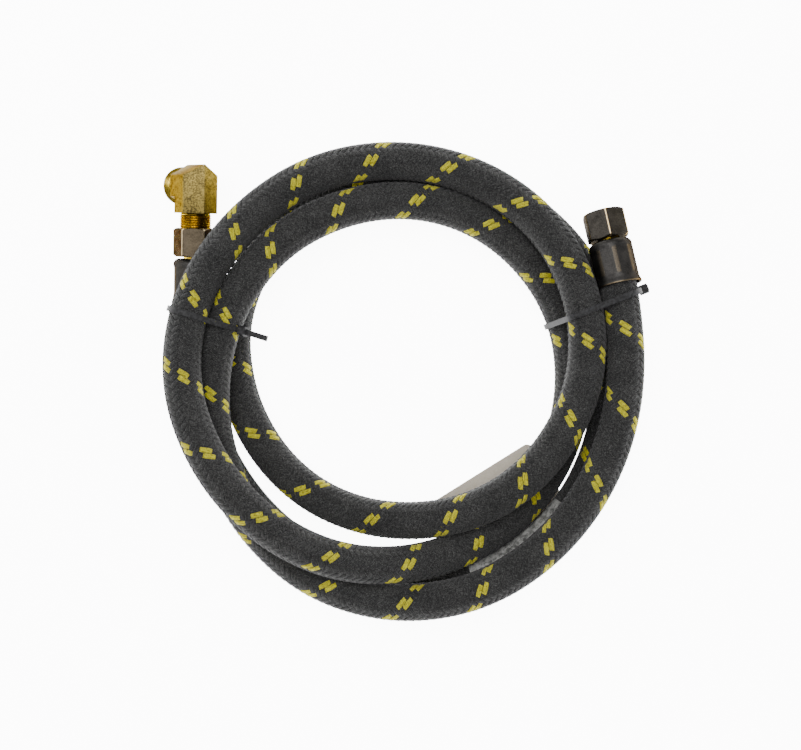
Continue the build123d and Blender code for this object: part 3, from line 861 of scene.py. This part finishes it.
def label_film():
    finish = Finish("label film", Specular_IOR_Level=0.3)
    height = finish.node("SeparateXYZ", None, {0: finish.place()}, 2)
    lifted = height.ramp(FLAG_TOP, WRAP_START)
    crease = finish.noise(finish.place(), CREASE_SCALE, 5, 0.75)
    fleck = finish.noise(finish.place(), FLECK_SCALE, 2)
    silver_tone = (crease * 0.9 + fleck * 0.3).ramp(0.45, 0.75)
    silver = finish.blend(silver_tone, (0.035, 0.035, 0.034), (0.21, 0.21, 0.20))
    paper_tone = (crease * 0.6 + fleck * 0.4).ramp(0.2, 0.8)
    paper = finish.blend(paper_tone, (0.24, 0.212, 0.172), (0.33, 0.297, 0.25))
    finish.shade(Base_Color=finish.blend(lifted, paper, silver))
    finish.shade(Roughness=0.55 - lifted * 0.22 + crease * 0.1)
    finish.relief(crease, 0.0004, 0.5)
    return finish.material


def rubber():
    finish = Finish("black rubber", Specular_IOR_Level=0.3)
    mottle = finish.noise(finish.place(), RUBBER_SCALE, 3)
    tone = mottle.ramp(0.3, 0.7)
    finish.shade(Base_Color=finish.blend(tone, (0.010, 0.010, 0.010), (0.03, 0.03, 0.03)))
    finish.shade(Roughness=mottle * 0.2 + 0.55)
    finish.relief(mottle, 0.00005)
    return finish.material


def backing():
    finish = Finish("ply textile", Roughness=0.95, Specular_IOR_Level=0.2)
    weave_tone = finish.noise(finish.place(), PLY_SCALE, 3)
    tone = weave_tone.ramp(0.3, 0.7)
    finish.shade(Base_Color=finish.blend(tone, (0.004, 0.004, 0.004), (0.02, 0.02, 0.02)))
    finish.relief(weave_tone, 0.0002)
    return finish.material


RUBBER = rubber()
NODE_FINISHES = {
    "inner_tube": RUBBER,
    "reinforcement_braid": backing(),
    "label": label_film(),
    "stem": BRASS_THREAD,
    "seal": RUBBER,
    "cable_tie": nylon(),
}
for name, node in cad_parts.items():
    for start, material in NODE_FINISHES.items():
        if name.startswith(start):
            node.data.materials.clear()
            node.data.materials.append(material)
print("CAD nodes dressed")

# %% [markdown]
# ## The hose's ends
# The hose leaves ferrule A, and its far end is the crimped fitting B.

# %% [markdown]
# ## Floor and light
# The floor is plain paper that glows faintly, as a light table does, so it stays nearly white and its
# shadows stay soft. One broad soft light above the camera lights the top of every strand, and two
# weaker ones at the sides lift the shadows between the turns.

# %% Floor
FLOOR_HALF = 1.5
FLOOR_DROP = 0.0001
FLOOR_GLOW = 10.0
floor = make_object(
    "floor",
    [
        (-FLOOR_HALF, -FLOOR_HALF, 0), (FLOOR_HALF, -FLOOR_HALF, 0),
        (FLOOR_HALF, FLOOR_HALF, 0), (-FLOOR_HALF, FLOOR_HALF, 0),
    ],
    [(0, 1, 2, 3)],
    smooth=False,
)
floor.location.z = -FLOOR_DROP
floor_finish = Finish("floor paper", Roughness=0.9, Specular_IOR_Level=0.1, Emission_Strength=FLOOR_GLOW)
floor_finish.shade(Emission_Color=(1, 1, 1))
paper_tone = floor_finish.noise(floor_finish.place(), 6, 2)
floor_finish.shade(Base_Color=floor_finish.blend(paper_tone, (0.93, 0.93, 0.93), (0.95, 0.95, 0.95)))
floor.data.materials.append(floor_finish.material)
print("floor", 2 * FLOOR_HALF, "m square")

# %% Lights
STUDIO_STRENGTH = 0.6


def soft_light(name, place, size, power):
    """A square area light that points at the coil."""
    data = bpy.data.lights.new(name, "AREA")
    data.size = size
    data.energy = power
    light = bpy.data.objects.new(name, data)
    light.location = place
    light.rotation_euler = (-Vector(place)).to_track_quat("-Z", "Y").to_euler()
    bpy.context.scene.collection.objects.link(light)


soft_light("overhead", (-0.15, 0.25, 1.3), 0.9, 30)
soft_light("left side", (-1.1, 0.3, 0.7), 0.8, 9)
soft_light("right side", (1.1, -0.2, 0.7), 0.8, 7)
world = bpy.data.worlds.new("studio")
world.use_nodes = True
background = world.node_tree.nodes["Background"]
background.inputs["Color"].default_value = (1, 1, 1, 1)
background.inputs["Strength"].default_value = STUDIO_STRENGTH
bpy.context.scene.world = world
print("three soft lights in a white studio")
